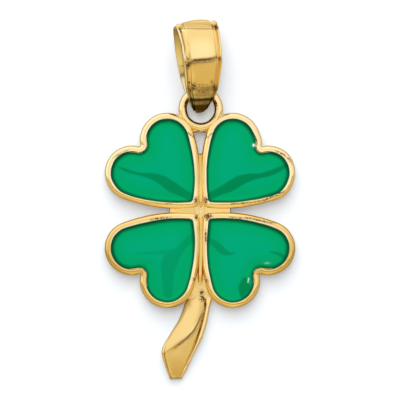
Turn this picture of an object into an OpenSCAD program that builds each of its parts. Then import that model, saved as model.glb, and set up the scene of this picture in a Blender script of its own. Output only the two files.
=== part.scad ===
// Four leaf clover pendant: a cast frame with four heart-shaped leaves, a
// stem and a soldered ring, green enamel in each leaf, and a tapered bail
// that hangs in the ring. It lies face up on its flat back.
// X runs across, Y from the stem to the bail, Z out of the enamelled face.

/* [Leaves] */
// Angle between a leaf's axis and the pendant's long axis, in degrees
leaf_angle = 43; // [42:0.5:44]
// Distance from the clover's centre to the middle of a leaf's lobes
lobe_out = 5.03; // [4.6:0.01:5.6]
// Distance between the middles of the two lobes of one leaf
lobe_apart = 3.27; // [3:0.01:3.5]
// Radius of a lobe, at the wall of its enamel cell
lobe_r = 1.375; // [1.25:0.005:1.5]
// Radius of the long curved side of a leaf
side_r = 9.85; // [8:0.05:12]
// Distance from the clover's centre to the inner point of an enamel cell
tip_out = 0.885; // [0.8:0.005:1]
// Radius that rounds off the inner point of an enamel cell
tip_r = 0.28; // [0.15:0.01:0.4]
// Radius of the notch between two lobes, at the wall of the cell
notch_r = 0.565; // [0.54:0.005:0.75]

/* [Rims] */
// Width of the gold rim round each leaf
rim_w = 0.48; // [0.4:0.01:0.53]
// Thickness of the clover from its flat back to the top of its rims
rim_h = 1.4; // [1.2:0.05:1.8]
// Height of the rounding on top of a rim
rim_round = 0.24; // [0.15:0.01:0.3]
// Thickness of the gold floor under the enamel
floor_t = 0.45; // [0.3:0.01:0.6]

/* [Enamel] */
// Gap between the enamel and the wall of its cell
enamel_gap = 0.03; // [0.02:0.005:0.06]
// Depth of the enamel's edge below the top of the rims
enamel_sink = 0.26; // [0.2:0.01:0.35]
// Height of the enamel's crown above its own edge
enamel_crown = 0.16; // [0.08:0.01:0.2]

/* [Webs] */
// Thickness of the plain webs that join the leaves
web_h = 0.95; // [0.7:0.01:1.1]
// Length of the web on each side, from the clover's centre outwards
side_web_len = 2.12; // [1.5:0.01:2.6]
// Length of the web between the two upper leaves
top_web_len = 3.9; // [3.2:0.05:4.1]
// Distance from the lowest point of the lower leaves up to the end of the
// web between them, which carries the stem
stem_web_rise = 0.58; // [0.4:0.01:0.8]

/* [Ring] */
// Bore of the soldered ring
ring_bore = 1.86; // [1.75:0.01:2.1]
// Thickness of the ring's round wire
wire_d = 0.59; // [0.5:0.01:0.66]
// Height of the middle of the ring's wire above the back
ring_lift = 1.06; // [1:0.01:1.12]
// Depth that the ring is sunk into the rims of the two upper leaves
ring_sink = 0.305; // [0.25:0.005:0.4]
// Sideways place of the ring off the pendant's long axis
ring_off = 0.05; // [-0.1:0.01:0.1]
// Width along Y of the solder bar that fills the valley under the ring
solder_w = 0.35; // [0.25:0.01:0.5]
// Length across of the solder bar
solder_l = 1.3; // [1.1:0.05:1.6]
// Distance that the solder bar stands out below the ring
solder_proud = 0.06; // [0.02:0.01:0.1]

/* [Bail] */
// Length of the bail from its narrow end to its broad end
bail_len = 6.42; // [6.2:0.01:6.8]
// Diameter of the curve at its broad end, seen from the side
bail_apex_d = 1.9; // [1.6:0.05:2.2]
// Diameter of the curve at its narrow end, seen from the side
bail_tip_d = 1.3; // [1.2:0.05:1.5]
// Radius of the long curve of its front and back, seen from the side
bail_side_r = 5.5; // [5:0.1:6.5]
// Greatest width of the bail's band
bail_w = 2.95; // [2.7:0.01:3.1]
// Thickness of the bail's band
bail_t = 0.27; // [0.22:0.01:0.3]
// Rise of the band's middle above its edges
bail_dome_h = 0.07; // [0.04:0.01:0.1]
// Turn of the bail about its own length, in degrees
bail_yaw = 14; // [10:1:16]
// Lean of the bail to one side, in degrees
bail_roll = 2.8; // [0:0.1:5]
// Slack of the bail in the ring along Y
bail_slack = 0.93; // [0.8:0.01:1]
// Gap between the bail's front and the ring's wire that it drops onto
bail_clear = 0.06; // [0.04:0.01:0.08]

/* [Stem] */
// Length of the stem from its root in the web to its end
stem_len = 5.68; // [5:0.01:6.5]
// Greatest width of the stem
stem_w = 2.5; // [2.2:0.01:2.8]
// Thickness of the stem at its crest
stem_h = 1.25; // [1:0.01:1.4]
// Length of the stem's root that is sunk in the web
stem_root = 0.26; // [0.2:0.01:0.4]

/* [Hidden] */

gold = "goldenrod";
green = "mediumseagreen";

// Angles of the four leaves' axes from +X
upper_right = 90 - leaf_angle;
upper_left = 90 + leaf_angle;
lower_left = 270 - leaf_angle;
lower_right = 270 + leaf_angle;

// Steps on each arc of a half leaf, and on the arcs of the bail
tip_steps = 3;
side_steps = 8;
lobe_steps = 12;
notch_steps = 4;
bail_apex_steps = 16;
bail_side_steps = 9;
bail_tip_steps = 8;

// Leaf axes: u runs outwards along a leaf, v across it.
lobe_at = [lobe_out, lobe_apart / 2];
notch_at = [
    lobe_out + sqrt(pow(lobe_r + notch_r, 2) - pow(lobe_at.y, 2)),
    0
];
// The middle of a side's arc lies where an arc through the leaf's point
// and an arc inside the lobe have the same radius.
side_at = meeting([tip_out, 0], side_r, lobe_at, side_r - lobe_r);
// Middle of the enamel's crown, from which the whole outline can be seen
crown_at = [lobe_out - lobe_r / 2, 0];

// Sizes of the ring and its place in the valley between the upper leaves
wire_r = wire_d / 2;
ring_r = ring_bore / 2 + wire_r;
inner_lobe = to_world(lobe_at, upper_right);
ring_seat = lobe_r + rim_w + ring_bore / 2 + wire_d - ring_sink;
ring_y = inner_lobe.y + sqrt(pow(ring_seat, 2) - pow(inner_lobe.x, 2));
solder_y = ring_y - ring_r - wire_r - solder_proud;

// The bail in its own frame: x across, s from the middle of its narrow end
// towards its broad end, t out of its front.
apex_r = bail_apex_d / 2;
point_r = bail_tip_d / 2;
apex_s = bail_len - apex_r - point_r;
leg_at = meeting([0, 0], bail_side_r - point_r, [apex_s, 0],
    bail_side_r - apex_r);
leg_start = angle_of(-leg_at);
leg_end = angle_of([apex_s, 0] - leg_at);
bail_y = ring_y + ring_bore / 2 - bail_slack - bail_t + point_r;

// Width of the band's front against its place between the narrow end, 0,
// and the broad end, 1, as shares of the greatest width
BAND_FRONT = [
    [0, 0.28], [0.05, 0.37], [0.11, 0.49], [0.175, 0.60], [0.28, 0.70],
    [0.41, 0.80], [0.57, 0.90], [0.73, 0.96], [0.89, 0.98], [1, 0.96]
];
// Width of the band's back as a share of its front's width there
BAND_BACK = [
    [0, 1], [0.1, 0.90], [0.2, 0.80], [0.28, 0.80], [0.57, 0.86],
    [0.73, 0.92], [0.89, 1], [1, 1]
];
// Half section of the band: shares of half the width, of the thickness
// and of the dome's rise
BAND_SECTION = [[1, 0, 0], [1, 0.7, 0], [0.9, 0.8, 0.2], [0.62, 1, 0.7], [0, 1, 1]];

// Sections of the stem from its root to its end: share of the length, then
// shares of the width for its left edge, right edge, crest and groove, and
// the share of the height that the section keeps
STEM = [
    [0.00, -0.30, 0.24, 0.03, 0.12, 0.68],
    [0.12, -0.43, 0.27, 0.05, 0.14, 0.88],
    [0.22, -0.51, 0.24, 0.04, 0.12, 1.00],
    [0.31, -0.60, 0.19, -0.03, 0.07, 1.00],
    [0.41, -0.75, 0.14, -0.17, 0.01, 1.00],
    [0.51, -0.88, 0.08, -0.37, -0.07, 1.00],
    [0.58, -0.99, 0.00, -0.58, -0.11, 1.00],
    [0.65, -1.05, -0.08, -0.82, -0.16, 0.97],
    [0.72, -1.05, -0.16, -0.95, -0.25, 0.94],
    [0.79, -1.00, -0.27, -0.92, -0.37, 0.92],
    [0.89, -0.95, -0.38, -0.87, -0.46, 0.88],
    [0.97, -0.87, -0.49, -0.79, -0.55, 0.82],
    [1.00, -0.83, -0.54, -0.77, -0.60, 0.60]
];
// Heights across the stem as shares of its thickness there
stem_edge = 0.45;
stem_shoulder = 0.74;
stem_groove = 0.55;
stem_strand = 0.78;

// Point that lies at distance r1 from p1 and r2 from p2, on the right of
// the way from p1 to p2
function meeting(p1, r1, p2, r2) =
    let (
        way = p2 - p1,
        len = norm(way),
        along = (r1 * r1 - r2 * r2 + len * len) / (2 * len),
        across = sqrt(r1 * r1 - along * along)
    )
    p1 + way / len * along + [way.y, -way.x] / len * across;

function angle_of(p) = atan2(p.y, p.x);
function turned(p) = [-p.y, p.x];
function ahead(a) = [cos(a), sin(a)];
function to_world(p, a) = p.x * ahead(a) + p.y * turned(ahead(a));

// Points on an arc from angle a to angle b, without the last one
function arc(at, r, a, b, steps) =
    [for (i = [0 : steps - 1]) at + r * ahead(a + (b - a) * i / steps)];

// Half of a leaf's outline at distance d outside the cell wall, from the
// inner point over the lobe to just before the notch; corner is the radius
// at the inner point
function half_leaf(d, corner) =
    let (
        r = side_r + d,
        tip_at = [side_at.x - sqrt(pow(r - corner, 2) - pow(side_at.y, 2)), 0],
        start = angle_of(tip_at - side_at),
        over = angle_of(lobe_at - side_at),
        down = angle_of(notch_at - lobe_at)
    )
    concat(
        arc(tip_at, corner, 180, start, tip_steps),
        arc(side_at, r, start, over, side_steps),
        arc(lobe_at, lobe_r + d, over, down, lobe_steps),
        arc(notch_at, notch_r - d, down + 180, 180, notch_steps)
    );

// Whole outline, anticlockwise seen from above
function leaf(d, corner) =
    let (
        half = half_leaf(d, corner),
        n = len(half),
        notch = [[notch_at.x - notch_r + d, 0]],
        other = [for (i = [n - 1 : -1 : 1]) half[i]]
    )
    concat([for (p = half) [p.x, -p.y]], notch, other);

// Radius at the leaf's inner point, which gets sharper towards the outside
function corner_at(d) = tip_r * (1 - 0.6 * min(1, max(0, d / rim_w)));

function lifted(points, z) = [for (p = points) [p.x, p.y, z]];
function shrunk(points, share) =
    [for (p = points) crown_at + (p - crown_at) * share];

// Closed solid through rings of points that go up the outside first
module skin(rings) {
    n = len(rings[0]);
    last = len(rings) - 1;
    points = [for (ring = rings, p = ring) p];
    walls = [
        for (k = [0 : last - 1], i = [0 : n - 1])
        let (j = (i + 1) % n)
        [[k * n + i, k * n + n + i, k * n + j],
         [k * n + j, k * n + n + i, k * n + n + j]]
    ];
    faces = concat(
        [[for (i = [0 : n - 1]) i]],
        [for (pair = walls, f = pair) f],
        [[for (i = [n - 1 : -1 : 0]) last * n + i]]
    );
    polyhedron(points, faces, convexity = 8);
}

// One leaf's cup: a floor plate with a rounded rim round it
module leaf_cup(angle) {
    top = rim_h - rim_round;
    profile = [
        [rim_w, 0],
        [rim_w, top],
        [rim_w * 0.93, top + rim_round * 0.45],
        [rim_w * 0.76, top + rim_round * 0.84],
        [rim_w * 0.5, rim_h],
        [rim_w * 0.24, top + rim_round * 0.84],
        [rim_w * 0.07, top + rim_round * 0.45],
        [0, top],
        [0, floor_t]
    ];
    rotate([0, 0, angle])
        skin([for (p = profile) lifted(leaf(p.x, corner_at(p.x)), p.y)]);
}

// Middle of the upper right leaf's rim in world axes, from its inner point
// as far out along a web as reach; side is 1 for the half next to the web
// along +Y and -1 for the one next to the web along +X
function rim_side(side, reach) =
    let (
        half = half_leaf(rim_w / 2, corner_at(rim_w / 2)),
        run = [for (p = half) to_world([p.x, side * p.y], upper_right)],
        out = [for (p = run) side > 0 ? p.y : p.x],
        n = min([for (i = [1 : len(out) - 1]) if (out[i] >= reach) i]),
        share = (reach - out[n - 1]) / (out[n] - out[n - 1])
    )
    concat(
        [for (i = [0 : n - 1]) run[i]],
        [run[n - 1] + (run[n] - run[n - 1]) * share]
    );

// Web between two neighbouring leaves; mirrored is [-1, 1] across the long
// axis and [1, -1] across the other one
module web(side, reach, mirrored) {
    edge = rim_side(side, reach);
    back = [for (i = [len(edge) - 1 : -1 : 0])
        [edge[i].x * mirrored.x, edge[i].y * mirrored.y]];
    linear_extrude(web_h) polygon(concat(edge, back));
}

// Small plate in the middle, with a corner inside the tip of each rim
module hub() {
    tip = norm(rim_side(1, side_web_len)[0]);
    linear_extrude(web_h)
        polygon([
            for (angle = [upper_right, upper_left, lower_left, lower_right])
            (tip + tip_out) / 2 * ahead(angle)
        ]);
}

module webs() {
    hub();
    web(1, top_web_len, [-1, 1]);
    mirror([0, 1, 0]) web(1, stem_reach, [-1, 1]);
    web(-1, side_web_len, [1, -1]);
    mirror([1, 0, 0]) web(-1, side_web_len, [1, -1]);
}

module ring() {
    translate([ring_off, ring_y, ring_lift])
        rotate_extrude($fn = 48)
            translate([ring_r, 0]) circle(wire_r, $fn = 16);
    translate([-solder_l / 2, solder_y, 0])
        cube([solder_l, solder_w, ring_lift]);
}

// Root of the stem in the web between the lower leaves
stem_reach = inner_lobe.y + lobe_r + rim_w - stem_web_rise;
stem_y = stem_root - stem_reach;

// Points across one section of the stem, from the lower right round the top
function stem_section(row) =
    let (
        y = stem_y - row[0] * stem_len,
        h = stem_h * row[5],
        left = row[1] * stem_w,
        right = row[2] * stem_w,
        crest = row[3] * stem_w,
        groove = row[4] * stem_w
    )
    [
        [right, y, 0],
        [right, y, h * stem_edge],
        [(groove + right) / 2, y, h * stem_strand],
        [groove, y, h * stem_groove],
        [(crest + groove) / 2, y, h * (1 + stem_groove) / 2],
        [crest, y, h],
        [left * 0.8 + crest * 0.2, y, h * stem_shoulder],
        [left, y, h * stem_edge],
        [left, y, 0]
    ];

module stem() {
    skin([for (row = STEM) stem_section(row)]);
}

module clover_frame() {
    color(gold) {
        for (angle = [upper_left, upper_right, lower_left, lower_right])
            leaf_cup(angle);
        webs();
        ring();
        stem();
    }
}

// Enamel that fills one cell, with a low crown over the whole leaf
module enamel(angle) {
    edge_z = rim_h - enamel_sink;
    outline = leaf(-enamel_gap, corner_at(0));
    crowns = [
        for (share = [1, 0.92, 0.78, 0.55, 0.25])
        lifted(shrunk(outline, share), edge_z + enamel_crown * (1 - share * share))
    ];
    color(green)
        rotate([0, 0, angle])
            skin(concat([lifted(outline, floor_t)], crowns));
}

// Sections of the bail's loop: place on the outer face, outward direction
// and 1 for the front or 0 for the back
function loop_arc(at, r, a, b, steps) =
    [for (i = [0 : steps - 1])
        let (way = ahead(a + (b - a) * i / steps))
        [at + r * way, way]];

LOOP = concat(
    loop_arc([0, 0], point_r, 180, leg_start, bail_tip_steps / 2),
    loop_arc(leg_at, bail_side_r, leg_start, leg_end, bail_side_steps),
    loop_arc([apex_s, 0], apex_r, leg_end, -leg_end, bail_apex_steps),
    loop_arc([leg_at.x, -leg_at.y], bail_side_r, -leg_end, -leg_start,
        bail_side_steps),
    loop_arc([0, 0], point_r, -leg_start, -180, bail_tip_steps / 2)
);

function band_width(place) =
    let (
        share = min(1, max(0, (place.x + point_r) / bail_len)),
        front = lookup(share, BAND_FRONT)
    )
    bail_w * (place.y >= 0 ? front : front * lookup(share, BAND_BACK));

// Point of the loop's section in the bail's own frame
function band_point(section, half) =
    let (
        drop = bail_t * (half.y - 1) + bail_dome_h * (half.z - 1),
        at = section[0] + section[1] * drop
    )
    [half.x * band_width(section[0]) / 2, at.x, at.y];

// The bail's frame turned about its length, tilted, leaned and moved; lift
// is the height of the middle of its narrow end
function placed(p, tilt, lift) =
    let (
        x = p.x * cos(bail_yaw) + p.z * sin(bail_yaw),
        t = p.z * cos(bail_yaw) - p.x * sin(bail_yaw),
        y = p.y * cos(tilt) - t * sin(tilt),
        z = p.y * sin(tilt) + t * cos(tilt)
    )
    [
        x * cos(bail_roll) - y * sin(bail_roll),
        bail_y + x * sin(bail_roll) + y * cos(bail_roll),
        z + lift
    ];

// Whole section, as two mirrored halves and the middle of its inner face
SECTION = concat(
    BAND_SECTION,
    [for (i = [len(BAND_SECTION) - 2 : -1 : 0])
        [-BAND_SECTION[i].x, BAND_SECTION[i].y, BAND_SECTION[i].z]],
    [[0, 0, 1]]
);

function bail_points(tilt, lift) =
    [for (section = LOOP)
        [for (half = SECTION) placed(band_point(section, half), tilt, lift)]];

// Height of the narrow end's middle with the bail's lowest point at z = 0
function resting_lift(tilt) =
    -min([for (ring = bail_points(tilt, 0), p = ring) p.z]);

// Distance from a point to the surface of the ring's wire
function from_wire(p) =
    norm([norm([p.x - ring_off, p.y - ring_y]) - ring_r, p.z - ring_lift])
        - wire_r;

// Inner face of the bail's narrow end and front, finely sampled
FRONT_FACE = [
    for (section = concat(
            loop_arc([0, 0], point_r, 180, leg_start, 16),
            loop_arc(leg_at, bail_side_r, leg_start, leg_end, 32)
        ), w = [-1, -0.5, 0, 0.5, 1])
    band_point(section, [w, 0, 1 - abs(w)])
];

// Gap between the front and the wire at one tilt
function front_gap(tilt) =
    let (lift = resting_lift(tilt))
    min([for (p = FRONT_FACE) from_wire(placed(p, tilt, lift))]);

// Tilt at which the narrow end has dropped until its front lies one
// clearance above the wire, found by halving the span
function dropped(low, high, left) =
    left == 0 ? low
    : let (mid = (low + high) / 2)
        front_gap(mid) > bail_clear
            ? dropped(mid, high, left - 1)
            : dropped(low, mid, left - 1);

bail_tilt = dropped(0, 25, 20);
bail_lift = resting_lift(bail_tilt);

module bail() {
    rings = bail_points(bail_tilt, bail_lift);
    n = len(SECTION);
    total = len(rings);
    points = [for (ring = rings, p = ring) p];
    faces = [
        for (k = [0 : total - 1], i = [0 : n - 1])
        let (
            j = (i + 1) % n,
            next = (k + 1) % total
        )
        [[k * n + i, k * n + j, next * n + i],
         [k * n + j, next * n + j, next * n + i]]
    ];
    color(gold)
        polyhedron(points, [for (pair = faces, f = pair) f], convexity = 6);
}

module enamel_upper_left() {
    enamel(upper_left);
}

module enamel_upper_right() {
    enamel(upper_right);
}

module enamel_lower_left() {
    enamel(lower_left);
}

module enamel_lower_right() {
    enamel(lower_right);
}

clover_frame();
enamel_upper_left();
enamel_upper_right();
enamel_lower_left();
enamel_lower_right();
bail();
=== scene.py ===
import bpy
import numpy as np
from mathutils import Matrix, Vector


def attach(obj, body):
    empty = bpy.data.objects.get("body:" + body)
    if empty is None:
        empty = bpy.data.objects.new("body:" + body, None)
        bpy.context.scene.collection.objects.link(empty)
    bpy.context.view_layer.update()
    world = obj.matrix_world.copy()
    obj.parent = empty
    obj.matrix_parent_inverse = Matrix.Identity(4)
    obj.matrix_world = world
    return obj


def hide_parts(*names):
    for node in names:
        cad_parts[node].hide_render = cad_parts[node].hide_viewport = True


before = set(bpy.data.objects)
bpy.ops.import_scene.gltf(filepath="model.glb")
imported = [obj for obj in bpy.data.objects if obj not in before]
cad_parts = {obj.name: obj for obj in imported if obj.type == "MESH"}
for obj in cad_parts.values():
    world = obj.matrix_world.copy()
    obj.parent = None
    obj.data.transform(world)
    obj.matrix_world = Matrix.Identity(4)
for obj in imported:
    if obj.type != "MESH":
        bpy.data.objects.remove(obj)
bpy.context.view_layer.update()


# Leaf cups.
# Four heart-shaped cups of 14 karat gold, cast in one with the rest of the clover. Each has a
# flat floor and a rim with a rounded top, rubbed over by hand and polished, so it is never quite even.

leaf_angle = 43.0
lobe_out = 5.03
lobe_apart = 3.27
lobe_r = 1.375
side_r = 9.85
tip_out = 0.885
tip_r = 0.28
notch_r = 0.565
rim_w = 0.48
rim_h = 1.4
rim_round = 0.24
floor_t = 0.45
mm = 0.001

leaf_turns = {
    "upper_right": np.radians(90 - leaf_angle),
    "upper_left": np.radians(90 + leaf_angle),
    "lower_left": np.radians(270 - leaf_angle),
    "lower_right": np.radians(270 + leaf_angle),
}


def across_both(p1, r1, p2, r2):
    """Point at distance r1 from p1 and r2 from p2, to the right of the way from p1 to p2: the foot
    on the line by the cosine rule, then the rest of r1 at a right angle. Points are complex."""
    way = p2 - p1
    span = abs(way)
    along = (r1 * r1 - r2 * r2 + span * span) / (2 * span)
    return p1 + way / span * (along - 1j * np.sqrt(r1 * r1 - along * along))


def arc(at, radius, begin, end, count):
    """Circle round `at` from angle begin to angle end in even steps, without its last point, so that
    the next arc starts there. Column arrays give one arc in each row."""
    share = np.arange(count) / count
    return at + radius * np.exp(1j * (begin + (end - begin) * share))


lobe_at = lobe_out + 0.5j * lobe_apart
notch_at = lobe_out + np.sqrt((lobe_r + notch_r) ** 2 - lobe_at.imag**2)
side_at = across_both(tip_out + 0j, side_r, lobe_at, side_r - lobe_r)
crown_at = lobe_out - lobe_r / 2

tip_steps = 12
side_steps = 54
lobe_steps = 76
notch_steps = 26


def heart(out, corner):
    """A leaf's outline, `out` mm outside the wall of its cell, along +X: arcs round the inner point,
    along the side, over the lobe and into the notch, and the same mirrored back. One row for each out."""
    out = np.atleast_1d(np.asarray(out, float))[:, None]
    corner = np.broadcast_to(np.asarray(corner, float).reshape(-1, 1), out.shape)
    long_r = side_r + out
    tip_at = side_at.real - np.sqrt((long_r - corner) ** 2 - side_at.imag**2)
    start = np.angle(tip_at - side_at)
    over = np.angle(lobe_at - side_at)
    down = np.angle(notch_at - lobe_at)
    arcs = [
        arc(tip_at, corner, np.pi, start, tip_steps),
        arc(side_at, long_r, start, over, side_steps),
        arc(lobe_at, lobe_r + out, over, down, lobe_steps),
        arc(notch_at, notch_r - out, down + np.pi, np.pi, notch_steps),
    ]
    half = np.concatenate(arcs, axis=1)
    notch = notch_at - notch_r + out
    return np.concatenate([half.conj(), notch, half[:, :0:-1]], axis=1)


def corner_at(out):
    """Radius at the leaf's inner point: full at the cell's wall and 0.4 of it outside the rim."""
    return tip_r * (1 - 0.6 * np.clip(np.asarray(out, float) / rim_w, 0, 1))


def unevenness(count, seed, reach):
    """Closed wavy line of `count` values: sines of 3 to 31 waves a round with random phases, each
    weaker as it gets shorter, scaled so that they stay within about `reach`."""
    rng = np.random.default_rng(seed)
    turns = np.array([3, 5, 8, 11, 15, 19, 24, 31])
    phase = rng.uniform(0, 2 * np.pi, len(turns))
    at = 2 * np.pi * np.arange(count) / count
    waves = np.sin(turns[:, None] * at + phase[:, None]) / np.sqrt(turns)[:, None]
    return reach * waves.sum(0)


def to_mesh(name, grid, marks, ring=False):
    """Mesh from a grid of points in mm whose rows are closed loops: a quad between each four
    neighbours. A ring joins its last row to its first; otherwise the first and the last row are each
    one point, with triangles round it. marks are values for each grid point, kept as attributes."""
    rows, columns = grid.shape[:2]
    number = np.arange(rows * columns).reshape(rows, columns)
    if ring:
        number = np.concatenate([number, number[:1]])
    else:
        number[0] = number[0, 0]
        number[-1] = number[-1, 0]
    both = np.concatenate([number, number[:, :1]], axis=1)
    quads = np.stack([both[:-1, :-1], both[1:, :-1], both[1:, 1:], both[:-1, 1:]], axis=-1).reshape(-1, 4)
    used, packed = np.unique(quads, return_inverse=True)
    quads = packed.reshape(quads.shape)
    top = quads[:, 0] == quads[:, 3]
    end = quads[:, 1] == quads[:, 2]
    faces = quads[~top & ~end].tolist() + quads[top][:, :3].tolist() + quads[end][:, [0, 1, 3]].tolist()
    mesh = bpy.data.meshes.new(name)
    points = grid.reshape(-1, 3)[used] * mm
    mesh.from_pydata(points.tolist(), [], faces)
    mesh.polygons.foreach_set("use_smooth", np.ones(len(faces), bool))
    for title, values in marks.items():
        layer = mesh.attributes.new(title, "FLOAT", "POINT")
        layer.data.foreach_set("value", np.asarray(values, np.float32).reshape(-1)[used])
    mesh.update()
    return mesh


def linked(name, data):
    """A new object in the scene that holds the given mesh, lamp or camera."""
    made = bpy.data.objects.new(name, data)
    bpy.context.scene.collection.objects.link(made)
    return made


def joined(name, meshes):
    """One object at the origin that holds all the given meshes."""
    parts = [linked(f"{name}_{i}", mesh) for i, mesh in enumerate(meshes)]
    if len(parts) > 1:
        with bpy.context.temp_override(active_object=parts[0], selected_editable_objects=parts):
            bpy.ops.object.join()
    parts[0].name = name
    parts[0].data.name = name
    return parts[0]


def fill(made, sockets):
    """Gives each named socket of a node its value or its link."""
    for title, value in sockets.items():
        if isinstance(value, bpy.types.NodeSocket):
            made.id_data.links.new(value, made.inputs[title])
        else:
            made.inputs[title].default_value = value


def node(tree, kind, sockets=None, **settings):
    """Adds a shader node: settings are its own properties, and each socket gets a value or a link."""
    made = tree.nodes.new(kind)
    for title, value in settings.items():
        setattr(made, title, value)
    fill(made, sockets or {})
    return made


def maths(tree, operation, a, b=0.0, c=0.0, clamp=False):
    """Output of a Math node on up to three values or sockets."""
    made = node(tree, "ShaderNodeMath", {0: a, 1: b, 2: c}, operation=operation, use_clamp=clamp)
    return made.outputs[0]


def times(tree, first, *others):
    """Output of the product of several values or sockets."""
    for other in others:
        first = maths(tree, "MULTIPLY", first, other)
    return first


def smooth_step(tree, value, low, high):
    """Output that runs smoothly from 0 at low to 1 at high."""
    ends = {"Value": value, "From Min": low, "From Max": high}
    return node(tree, "ShaderNodeMapRange", ends, interpolation_type="SMOOTHSTEP").outputs["Result"]


def blend(tree, share, a, b):
    """Colour output: a where share is 0 and b where it is 1."""
    return node(tree, "ShaderNodeMix", {0: share, 6: a, 7: b}, data_type="RGBA").outputs[2]


def noise(tree, place, scale, detail=2.0):
    """Output of a noise pattern, whose scale is its waves to a metre."""
    made = node(tree, "ShaderNodeTexNoise", {"Vector": place, "Scale": scale, "Detail": detail})
    return made.outputs["Fac"]


def attribute(tree, title):
    """Output of a value that the mesh keeps for each of its points."""
    return node(tree, "ShaderNodeAttribute", attribute_name=title).outputs["Fac"]


def bumped(tree, height, reach):
    """Output of a normal tilted by a pattern of heights, which counts as `reach` metres deep."""
    return node(tree, "ShaderNodeBump", {"Height": height, "Distance": reach}).outputs["Normal"]


def goldsmiths_skin():
    """Group for every gold surface. Long soft waves stand for hand polishing, fine grain for the
    cast skin, pits with brown oxide appear where the mark is near 1, tone blends evenly towards the
    toned colour, mostly as painted shade, and bright blends in a pale colour as a painted highlight."""
    group = bpy.data.node_groups.new("goldsmiths skin", "ShaderNodeTree")
    face = group.interface
    for title in ("Clean Gold", "Oxide", "Toned", "Flashing"):
        face.new_socket(title, in_out="INPUT", socket_type="NodeSocketColor")
    for title in ("Mark", "Tone", "Bright", "Waves", "Grain", "Polish"):
        face.new_socket(title, in_out="INPUT", socket_type="NodeSocketFloat")
    face.new_socket("Color", in_out="OUTPUT", socket_type="NodeSocketColor")
    for title in ("Roughness", "Height"):
        face.new_socket(title, in_out="OUTPUT", socket_type="NodeSocketFloat")
    given = node(group, "NodeGroupInput").outputs
    place = node(group, "ShaderNodeTexCoord").outputs["Object"]
    wave = noise(group, place, 1500.0, 1.0)
    grain = noise(group, place, 6500.0, 2.5)
    pitted = smooth_step(group, noise(group, place, 9500.0), 0.44, 0.60)
    dirty = times(group, given["Mark"], maths(group, "MULTIPLY_ADD", pitted, 0.75, 0.25))
    lively = maths(group, "MULTIPLY_ADD", noise(group, place, 700.0), 0.10, -0.05)
    stained = maths(group, "ADD", times(group, dirty, 1.6), lively, clamp=True)
    # Painted shade first, then painted highlights, then the brown oxide of the pits.
    colour = blend(group, given["Tone"], given["Clean Gold"], given["Toned"])
    colour = blend(group, given["Bright"], colour, given["Flashing"])
    colour = blend(group, stained, colour, given["Oxide"])
    rough = maths(group, "MULTIPLY_ADD", dirty, 0.22, given["Polish"])
    rough = maths(group, "MULTIPLY_ADD", grain, 0.04, rough)
    high = maths(group, "MULTIPLY_ADD", grain, given["Grain"], times(group, wave, given["Waves"]))
    high = maths(group, "MULTIPLY_ADD", times(group, pitted, given["Mark"]), -1.2, high)
    node(group, "NodeGroupOutput", {"Color": colour, "Roughness": rough, "Height": high})
    return group


gold_skin = goldsmiths_skin()
skin_depth = 0.00001
clean_gold = (1.0, 0.765, 0.345, 1)
brown_oxide = (0.09, 0.04, 0.006, 1)
# Colours of the painted shade on rims and webs, and of the painted highlights.
painted_shade_gold = (0.70, 0.48, 0.13, 1)
painted_highlight_gold = (1.0, 0.94, 0.76, 1)


def new_material(name):
    """A fresh material with its tree and its shader."""
    made = bpy.data.materials.new(name)
    made.use_nodes = True
    return made, made.node_tree, made.node_tree.nodes["Principled BSDF"]


def gold(name, waves, grain, polish, toned=painted_shade_gold, flashing=painted_highlight_gold):
    """Yellow gold with the goldsmith's skin; the mesh attributes "mark", "tone" and "bright" say where
    it is pitted and stained, where its colour goes over to the toned one, mostly as painted shade,
    and where a painted highlight makes it pale."""
    made, tree, shader = new_material(name)
    skin = node(tree, "ShaderNodeGroup", node_tree=gold_skin)
    fill(skin, {title: attribute(tree, title.lower()) for title in ("Mark", "Tone", "Bright")})
    fill(skin, {"Clean Gold": clean_gold, "Oxide": brown_oxide, "Toned": toned, "Flashing": flashing})
    fill(skin, {"Waves": waves, "Grain": grain, "Polish": polish})
    fill(shader, {"Base Color": skin.outputs["Color"], "Roughness": skin.outputs["Roughness"]})
    fill(shader, {"Normal": bumped(tree, skin.outputs["Height"], skin_depth), "Metallic": 1.0})
    return made


def bell(far):
    """Bell curve: e to the power of minus far squared."""
    return np.exp(-(far**2))


def strongest(first, *others):
    """The greatest of several values at each point."""
    for other in others:
        first = np.maximum(first, other)
    return first


def spot(x, y, at_x, at_y, half_x, half_y):
    """Soft round spot: a bell curve of the distance from its centre in half widths and half heights."""
    return np.exp(-(((x - at_x) / half_x) ** 2 + ((y - at_y) / half_y) ** 2))


def smudge(x, y, spots):
    """Mark at each point: the strongest of several soft round spots, whose last value is strength."""
    value = np.zeros_like(x)
    for *place, strength in spots:
        value = np.maximum(value, strength * spot(x, y, *place))
    return value


def from_path(x, y, path):
    """Distance from each point to the nearest straight piece of a path of (x, y, value) points, and
    the value there, which runs evenly along each piece."""
    line = np.array(path)
    nearest = np.full(np.shape(x), np.inf)
    value = np.zeros(np.shape(x))
    for a, b in zip(line[:-1], line[1:]):
        way = b[:2] - a[:2]
        share = np.clip(((x - a[0]) * way[0] + (y - a[1]) * way[1]) / (way @ way), 0, 1)
        far = np.hypot(x - a[0] - share * way[0], y - a[1] - share * way[1])
        value = np.where(far < nearest, a[2] + (b[2] - a[2]) * share, value)
        nearest = np.minimum(nearest, far)
    return nearest, value


def scratched(x, y, paths, half):
    """Mark at each point from thin lines of casting flaws, whose points give x, y and strength."""
    value = np.zeros_like(x)
    for path in paths:
        far, strength = from_path(x, y, path)
        value = np.maximum(value, strength * bell(far / half))
    return value


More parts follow.
